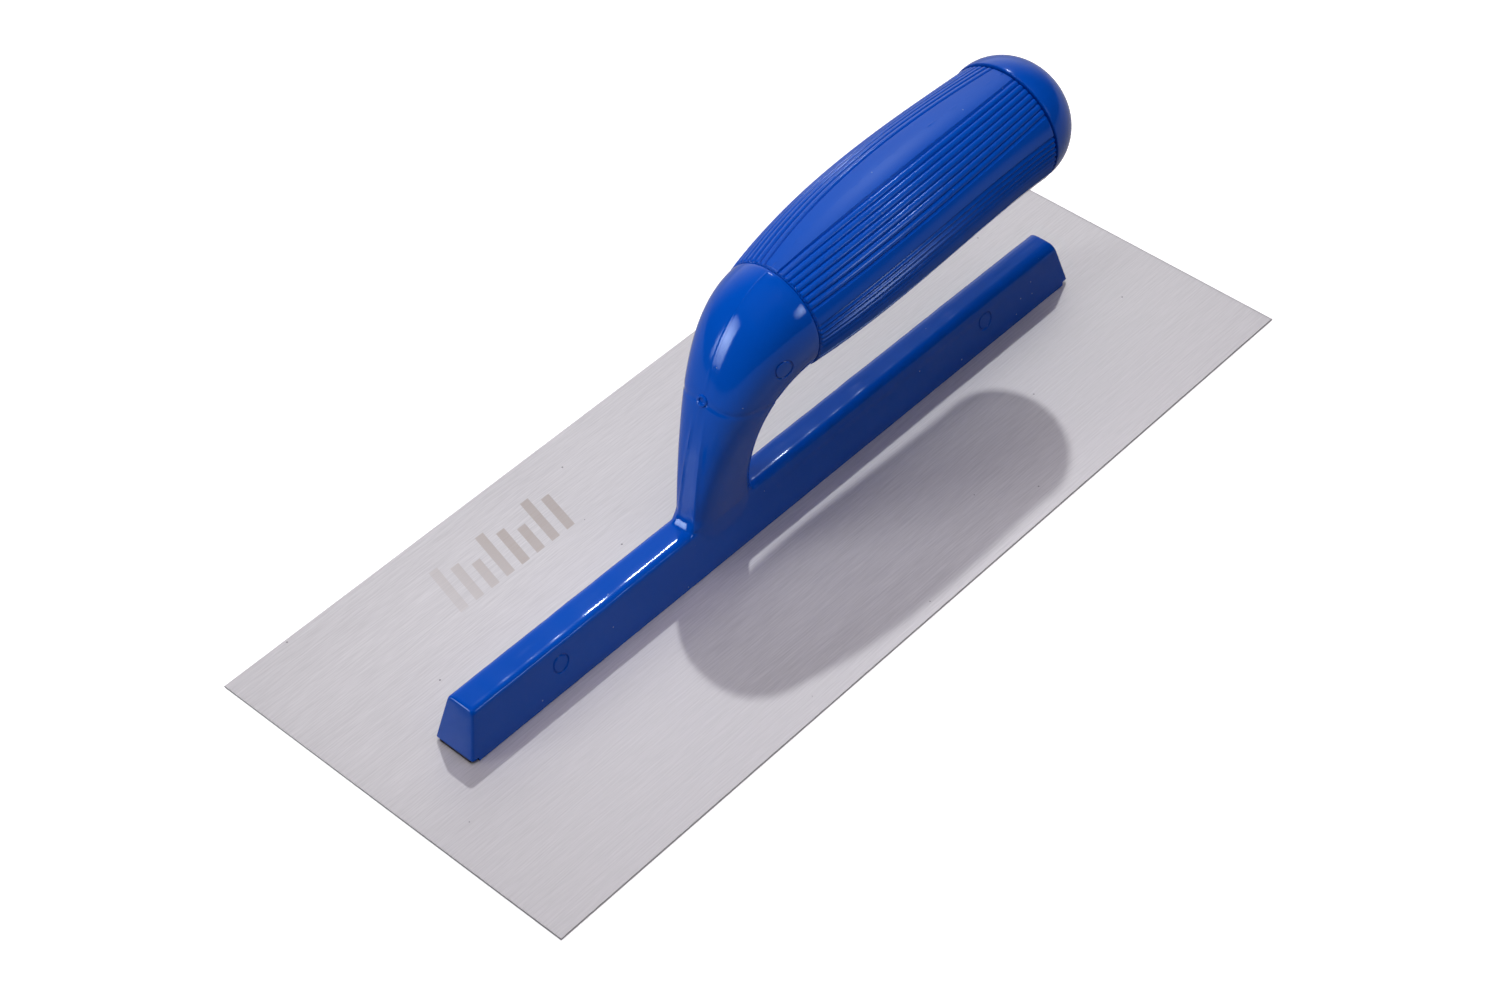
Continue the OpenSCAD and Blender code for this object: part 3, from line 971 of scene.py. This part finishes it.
def place_group(tree, group, values):
    """Outputs of a group that is placed in a material with its own values."""
    return add_node(tree, "ShaderNodeGroup", values, node_tree=group).outputs


def stretched_noise(tree, stretch, scale, detail=2.0, roughness=0.5):
    """Noise on the piece's own metres, stretched by a factor along each direction."""
    turn = add_node(tree, "ShaderNodeMapping", {"Vector": own_place(tree), "Scale": stretch})
    return add_node(tree, "ShaderNodeTexNoise", {
        "Vector": turn.outputs[0], "Scale": scale, "Detail": detail,
        "Roughness": roughness}).outputs["Fac"]


# %% [markdown]
# ### Moulded skin
# Glossy injection-moulded plastic is never a perfect mirror. It has a very fine orange peel and
# slow sink ripples where thick walls shrank. The group gives a height for a Bump node, and a
# slow variation that shifts colour and roughness a little.

# %% Moulded skin group
ALONG_FLOW = (0.5, 1, 1)


def moulded_skin_group():
    group, start, end = new_group(
        "moulded_skin", [("Peel Scale", 900), ("Ripple Scale", 90), ("Ripple Share", 0.7)],
        [("Height", "Float"), ("Variation", "Float")])
    peel = stretched_noise(group, UNSTRETCHED, start.outputs["Peel Scale"])
    ripple = stretched_noise(group, ALONG_FLOW, start.outputs["Ripple Scale"], 1.0)
    rest = math_node(group, "SUBTRACT", 1.0, start.outputs["Ripple Share"])
    height = weighted_sum(group, (peel, rest), (ripple, start.outputs["Ripple Share"]))
    feed(end, {"Height": height, "Variation": stretched_noise(group, UNSTRETCHED, 35.0, 3.0)})
    return group


moulded_skin = moulded_skin_group()

# %% [markdown]
# ### Dust specks
# A few specks of dust lie on any shiny tool: pale on blue plastic, dark on bright steel. Voronoi
# cells give scattered points, and only the cells with a low random value show one.

# %% Dust group
def dust_group():
    group, start, end = new_group("dust_specks", [("Scale", 260), ("Speck Size", 0.10),
                                                  ("Share", 0.08)], [("Mask", "Float")])
    cells = add_node(group, "ShaderNodeTexVoronoi", {"Vector": own_place(group),
                                                     "Scale": start.outputs["Scale"]})
    colour = add_node(group, "ShaderNodeSeparateColor", {0: cells.outputs["Color"]})
    close = math_node(group, "LESS_THAN", cells.outputs["Distance"], start.outputs["Speck Size"])
    chosen = math_node(group, "LESS_THAN", colour.outputs[0], start.outputs["Share"])
    feed(end, {"Mask": product(group, close, chosen)})
    return group


dust_specks = dust_group()

# %% [markdown]
# ### Brushed grain
# Belt-ground steel carries fine scratches that all run one way, here along the blade. Noise that
# is drawn out more than twentyfold along X gives them. A second, broader one gives the soft bands
# that a belt leaves.

# %% Brushed grain group
LINE_STRETCH = (110, 2600, 2600)
BAND_STRETCH = (6, 160, 160)


def brushed_grain_group():
    group, start, end = new_group("brushed_grain", [("Line Scale", 1.0), ("Band Scale", 1.0)],
                                  [("Lines", "Float"), ("Bands", "Float")])
    lines = stretched_noise(group, LINE_STRETCH, start.outputs["Line Scale"], 3.0, 0.6)
    bands = stretched_noise(group, BAND_STRETCH, start.outputs["Band Scale"], 2.0)
    feed(end, {"Lines": lines, "Bands": bands})
    return group


brushed_grain = brushed_grain_group()
print("groups", [group.name for group in bpy.data.node_groups])

# %% [markdown]
# ## Royal blue plastic
# The whole handle is one deep royal blue with a high gloss. The recipe is one function, because
# moulding, sleeve and cap come from different moulds and differ only in polish, ripple and wear.
# Colour shifts slowly, roughness follows the same variation, and specks of dust are paler and
# dull. The sleeve's smooth top panel is rubbed duller by the palm. The gloss is tinted a pale
# blue on the Specular Tint socket, so that the highlights stay in the family of the plastic.

# %% Plastic finish
PLASTIC_BLUE = (0.0, 0.084, 0.515, 1)
PLASTIC_DEEP = (0.0, 0.068, 0.445, 1)
DUST_BLUE = (0.10, 0.20, 0.50, 1)
GLOSS_BLUE = (0.56, 0.72, 1.0, 1)
GLOSS_LEVEL = 0.45
DUST_DULLNESS = 0.3
RUB_EDGE = (5.5 * MM, 3.5 * MM)


def mixed_colour(tree, share, first, second):
    """Colour between two others. Each is a colour or a socket, and share is a socket."""
    colours = {"Factor": share, 6: first, 7: second}
    return add_node(tree, "ShaderNodeMix", colours, data_type="RGBA").outputs[2]


def new_material(name):
    material = bpy.data.materials.new(name)
    material.use_nodes = True
    tree = material.node_tree
    return material, tree, tree.nodes["Principled BSDF"]


def add_bump(tree, shader, height, distance):
    bump = add_node(tree, "ShaderNodeBump", {"Height": height, "Distance": distance,
                                             "Strength": 1.0})
    feed(shader, {"Normal": bump.outputs["Normal"]})


def rubbed_top(tree):
    """1 along the smooth top panel, where a palm rubs it dull, fading to 0 beside it."""
    _, y, z = own_xyz(tree)
    fade = mapped(tree, math_node(tree, "ABSOLUTE", y), source=RUB_EDGE)
    return product(tree, fade, math_node(tree, "GREATER_THAN", z, COLLAR[2] * MM))


def moulded_plastic(name, polish, ripple_depth, ripple_scale, rub=0.0):
    """Blue moulded plastic. polish is its lowest and highest roughness, rub is added on top."""
    material, tree, shader = new_material(name)
    skin = place_group(tree, moulded_skin, {"Ripple Scale": ripple_scale})
    dust = place_group(tree, dust_specks, {"Scale": 420, "Share": 0.05})
    plain = mixed_colour(tree, skin["Variation"], PLASTIC_DEEP, PLASTIC_BLUE)
    rough = weighted_sum(tree, (mapped(tree, skin["Variation"], *polish), 1),
                         (dust["Mask"], DUST_DULLNESS), (rubbed_top(tree), rub))
    feed(shader, {"Base Color": mixed_colour(tree, dust["Mask"], plain, DUST_BLUE),
                  "Roughness": rough, "IOR": 1.5, "Specular IOR Level": GLOSS_LEVEL,
                  "Specular Tint": GLOSS_BLUE})
    add_bump(tree, shader, skin["Height"], ripple_depth)
    return material


def dress(piece, material):
    piece.data.materials.clear()
    piece.data.materials.append(material)


dress(moulding, moulded_plastic("blue_handle_gloss", (0.07, 0.12), 0.000025, 70))
grip_blue = moulded_plastic("blue_grip_gloss", (0.15, 0.20), 0.00002, 120, 0.24)
dress(grip, grip_blue)
dress(seam_beads, grip_blue)
dress(cap, moulded_plastic("blue_cap_gloss", (0.16, 0.22), 0.00003, 90))

# %% [markdown]
# ## Blade steel
# Ground steel reflects like a mirror that is smeared across its scratches, so the shader is
# fairly rough, and anisotropic along X. It is only half metallic: the other half stands for the
# light that fine scratches scatter to all sides, and keeps the sheet pale wherever it's seen from.
# The grain gives bump and slight changes of colour. A plain etched row of bars stands where such
# blades carry a mark, worn thin at its toe end.

# %% Blade steel finish
STEEL_LIGHT = (0.735, 0.73, 0.74, 1)
STEEL_DARK = (0.60, 0.595, 0.605, 1)
ETCH_BROWN = (0.53, 0.475, 0.43, 1)
ETCH_X = (-82, -38)
ETCH_Y = (32, 48)
ETCH_BARS = 8
ETCH_BAR_SHARE = 0.52
ETCH_SLANT = 0.25
ETCH_OFFSET = 10
ETCH_STEPS, ETCH_STEP_H = 3, 3
ETCH_WORN = 22
ETCH_WORN_SHARE = 0.35
ETCH_DULLNESS = 0.12
ETCH_PATCHY = (0.3, 1.1)
SOIL = (0.25, 0.24, 0.26, 1)
LINE_SHARE = 0.86
GRAIN_RANGE = (0.32, 0.68)
STEEL_ROUGH = (0.48, 0.56)
STEEL_METALLIC = 0.50
STEEL_SMEAR = 0.45
SCRATCH_DEPTH = 0.000015


def between(tree, value, low, high):
    """1 where value lies between two limits, else 0."""
    above = math_node(tree, "GREATER_THAN", value, low)
    below = math_node(tree, "LESS_THAN", value, high)
    return product(tree, above, below)


def etched_bars(tree):
    """Mask of a row of plain slanted bars whose heights step up and down."""
    x, y, z = own_xyz(tree)
    slanted = math_node(tree, "SUBTRACT", x, product(tree, y, ETCH_SLANT))
    from_start = math_node(tree, "SUBTRACT", slanted, (ETCH_X[0] - ETCH_OFFSET) * MM)
    count = math_node(tree, "DIVIDE", from_start, (ETCH_X[1] - ETCH_X[0]) * MM / ETCH_BARS)
    in_bar = math_node(tree, "LESS_THAN", math_node(tree, "FRACT", count), ETCH_BAR_SHARE)
    in_row = between(tree, count, 0, ETCH_BARS)
    step = math_node(tree, "MODULO", math_node(tree, "FLOOR", count), ETCH_STEPS)
    top = math_node(tree, "SUBTRACT", ETCH_Y[1] * MM, product(tree, step, ETCH_STEP_H * MM))
    in_height = between(tree, y, ETCH_Y[0] * MM, top)
    upside = math_node(tree, "GREATER_THAN", z, blade_t / 2 * MM)
    worn = mapped(tree, x, ETCH_WORN_SHARE, 1, (ETCH_X[0] * MM, (ETCH_X[0] + ETCH_WORN) * MM))
    return product(tree, in_bar, in_row, in_height, upside, worn)


def blade_steel():
    material, tree, shader = new_material("brushed_blade_steel")
    grain = place_group(tree, brushed_grain, {})
    dust = place_group(tree, dust_specks, {"Scale": 300, "Share": 0.03, "Speck Size": 0.08})
    grain_way = add_node(tree, "ShaderNodeCombineXYZ", {"X": 1.0}).outputs[0]
    streaks = weighted_sum(tree, (grain["Lines"], LINE_SHARE), (grain["Bands"], 1 - LINE_SHARE))
    contrast = mapped(tree, streaks, source=GRAIN_RANGE)
    steel = mixed_colour(tree, contrast, STEEL_DARK, STEEL_LIGHT)
    etch = product(tree, etched_bars(tree), mapped(tree, streaks, *ETCH_PATCHY))
    marked = mixed_colour(tree, etch, steel, ETCH_BROWN)
    rough = weighted_sum(tree, (mapped(tree, contrast, *STEEL_ROUGH), 1), (etch, ETCH_DULLNESS))
    feed(shader, {"Base Color": mixed_colour(tree, dust["Mask"], marked, SOIL),
                  "Roughness": rough, "Metallic": STEEL_METALLIC, "Anisotropic": STEEL_SMEAR,
                  "Tangent": grain_way})
    add_bump(tree, shader, grain["Lines"], SCRATCH_DEPTH)
    return material


dress(blade, blade_steel())

# %% [markdown]
# ## Strip, rivets, screw and washer
# The strip under the bar is dark steel, and its near-black tone is partly painted shade, standing
# in for the shadow in the crevice under the bar's ends. The rivets are ground flush with the blade
# and share its grain. The screw and the washer are zinc plated, with the cloudy patches of zinc.

# %% Small steel parts
PATCH_RANGE = (0.3, 0.7)
PATCH_DEPTH = 0.00003


def plain_steel(name, dark, light, roughness, scale, metallic=1.0):
    """Steel whose colour and roughness drift between two values in cloudy patches."""
    material, tree, shader = new_material(name)
    cloud = stretched_noise(tree, UNSTRETCHED, scale, 4.0, 0.6)
    patches = mapped(tree, cloud, source=PATCH_RANGE)
    feed(shader, {"Base Color": mixed_colour(tree, patches, dark, light),
                  "Roughness": mapped(tree, patches, *roughness), "Metallic": metallic})
    add_bump(tree, shader, cloud, PATCH_DEPTH)
    return material


zinc = plain_steel("zinc_plated_steel", (0.50, 0.51, 0.54, 1), (0.68, 0.69, 0.70, 1),
                   (0.25, 0.45), 300)
# Near-black steel for the strip; the tone is partly painted shade for the crevice under the bar's
# ends.
strip_steel_and_crevice_shade = plain_steel("dark_strip_steel_and_painted_shade", (0.010, 0.008, 0.010, 1), (0.035, 0.028, 0.026, 1),
                   (0.45, 0.7), 900, 0.6)
ground = plain_steel("ground_rivet_steel", (0.42, 0.41, 0.42, 1), (0.60, 0.59, 0.60, 1),
                     (0.3, 0.42), 700)
for node, slot, steel in (("backing_strip", "strip_steel", strip_steel_and_crevice_shade),
                          ("mount_rivets", "rivet_steel", ground),
                          ("tang_screw", "zinc_steel", zinc), ("tang_washer", "zinc_steel", zinc)):
    dress(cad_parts[node], steel)

# %% [markdown]
# ## Studio
# The tool lies on a plain white floor. A small strong lamp stands behind and high up, opposite
# the camera: it makes the steel shine and throws the handle's shadow forward over the blade. Two
# broad soft panels, one overhead and one in front, fill that shadow. They are kept out of gloss.
# Two small cards stand close to the bulb and give it its two highlights. A card's beam is narrow,
# as if a grid of black slats hung before it, so it doesn't wash over the rest. The room is dark
# for bounced light and gloss, so that the blue stays deep, but for a pale backdrop far behind.

# %% Floor and surroundings
FLOOR_SIZE = 6.0
FLOOR_DROP = 0.0002
FLOOR_PALE = (0.93, 0.93, 0.93, 1)
FLOOR_SHADE = (0.90, 0.90, 0.90, 1)
FLOOR_BOUNCE = (0.12, 0.12, 0.13, 1)
FLOOR_GLOW, FLOOR_GLOW_IN_GLOSS = 0.66, 0.34
BACKDROP_TURN = 52
BACKDROP_HEIGHT = 8
BACKDROP_REACH = 0.45
BACKDROP_FALL = 2.5
BACKDROP_GLOW = 1.1
ROOM_GLOW = 0.02
ROOM_TINT = (0.96, 0.96, 1.0, 1)
PALE_WALL = 0.80


def direction(turn, height):
    """Direction at an angle round the tool and a height above the floor, in degrees."""
    a, b = math.radians(turn), math.radians(height)
    return Vector((math.cos(a) * math.cos(b), math.sin(a) * math.cos(b), math.sin(b)))


def floor_material():
    """White for the camera and in gloss, and a greyer floor for light that bounces."""
    material, tree, shader = new_material("white_floor")
    seen = add_node(tree, "ShaderNodeLightPath").outputs
    tint = mixed_colour(tree, stretched_noise(tree, UNSTRETCHED, 6.0), FLOOR_PALE, FLOOR_SHADE)
    glow = weighted_sum(tree, (seen["Is Camera Ray"], FLOOR_GLOW),
                        (seen["Is Glossy Ray"], FLOOR_GLOW_IN_GLOSS))
    feed(shader, {"Base Color": mixed_colour(tree, seen["Is Camera Ray"], FLOOR_BOUNCE, tint),
                  "Roughness": 0.9, "Specular IOR Level": 0.1, "Emission Color": (1, 1, 1, 1),
                  "Emission Strength": glow})
    return material


def add_floor():
    half = FLOOR_SIZE / 2 / MM
    drop = -FLOOR_DROP / MM
    corners = [(-half, -half, drop), (half, -half, drop), (half, half, drop), (-half, half, drop)]
    floor = new_piece("studio_floor", corners, [(0, 1, 2, 3)])
    dress(floor, floor_material())


def add_surroundings():
    """Dark room with a pale backdrop that fades out to all sides, and pale walls to look at."""
    world = bpy.data.worlds.new("studio_surroundings")
    world.use_nodes = True
    tree = world.node_tree
    place = add_node(tree, "ShaderNodeTexCoord").outputs["Generated"]
    facing = add_node(tree, "ShaderNodeVectorMath",
                      {0: place, 1: direction(BACKDROP_TURN, BACKDROP_HEIGHT)},
                      operation="DOT_PRODUCT")
    fade = mapped(tree, facing.outputs["Value"], source=(BACKDROP_REACH, 1))
    seen = add_node(tree, "ShaderNodeLightPath").outputs["Is Camera Ray"]
    glow = weighted_sum(tree, (math_node(tree, "POWER", fade, BACKDROP_FALL), BACKDROP_GLOW),
                        (seen, PALE_WALL), (1, ROOM_GLOW))
    feed(tree.nodes["Background"], {"Color": ROOM_TINT, "Strength": glow})
    bpy.context.scene.world = world


add_floor()
add_surroundings()
bpy.context.scene.view_settings.view_transform = "Standard"
print("floor", FLOOR_SIZE, "m wide, world", bpy.context.scene.world.name)

# %% [markdown]
# Every lamp is given by the point that it faces, its turn round that point, its height above the
# floor, its distance, its size in metres and its power in watts.

# %% Lamps
TOOL_MIDDLE = Vector((0, 0, 30)) * MM
BULB_FRONT = Vector((-17, -1, 68)) * MM
COLLAR_NEAR = Vector((-4, -11, 72)) * MM
WHITE = (1, 1, 1)
FILL_TINT = (1.0, 0.91, 1.0)


def aimed_lamp(name, target, turn, height, distance, size, power, tint=WHITE, in_gloss=True,
               beam=180):
    """Area lamp that stands in a direction from a point of the tool and faces that point."""
    lamp = bpy.data.lights.new(name, "AREA")
    lamp.shape = "RECTANGLE"
    lamp.size, lamp.size_y = size
    lamp.energy = power
    lamp.color = tint
    lamp.spread = math.radians(beam)
    holder = new_object(name, lamp)
    way = direction(turn, height)
    holder.location = target + way * distance
    holder.rotation_euler = way.to_track_quat("Z", "Y").to_euler()
    holder.visible_glossy = in_gloss
    holder.visible_camera = False


aimed_lamp("back_lamp", TOOL_MIDDLE, 39.9, 51.3, 6.0, (0.18, 0.18), 50)
aimed_lamp("top_panel", TOOL_MIDDLE, 180, 79, 0.9, (0.8, 0.8), 4.6, FILL_TINT, in_gloss=False)
aimed_lamp("front_fill", TOOL_MIDDLE, -55, 65, 1.2, (0.8, 0.8), 2.7, FILL_TINT, in_gloss=False)
aimed_lamp("bulb_card", BULB_FRONT, 152, 24, 0.30, (0.10, 0.21), 0.048, beam=44)
aimed_lamp("collar_card", COLLAR_NEAR, -66, 26, 0.30, (0.19, 0.09), 0.0075, beam=24)
print("lamps", [lamp.name for lamp in bpy.data.lights])
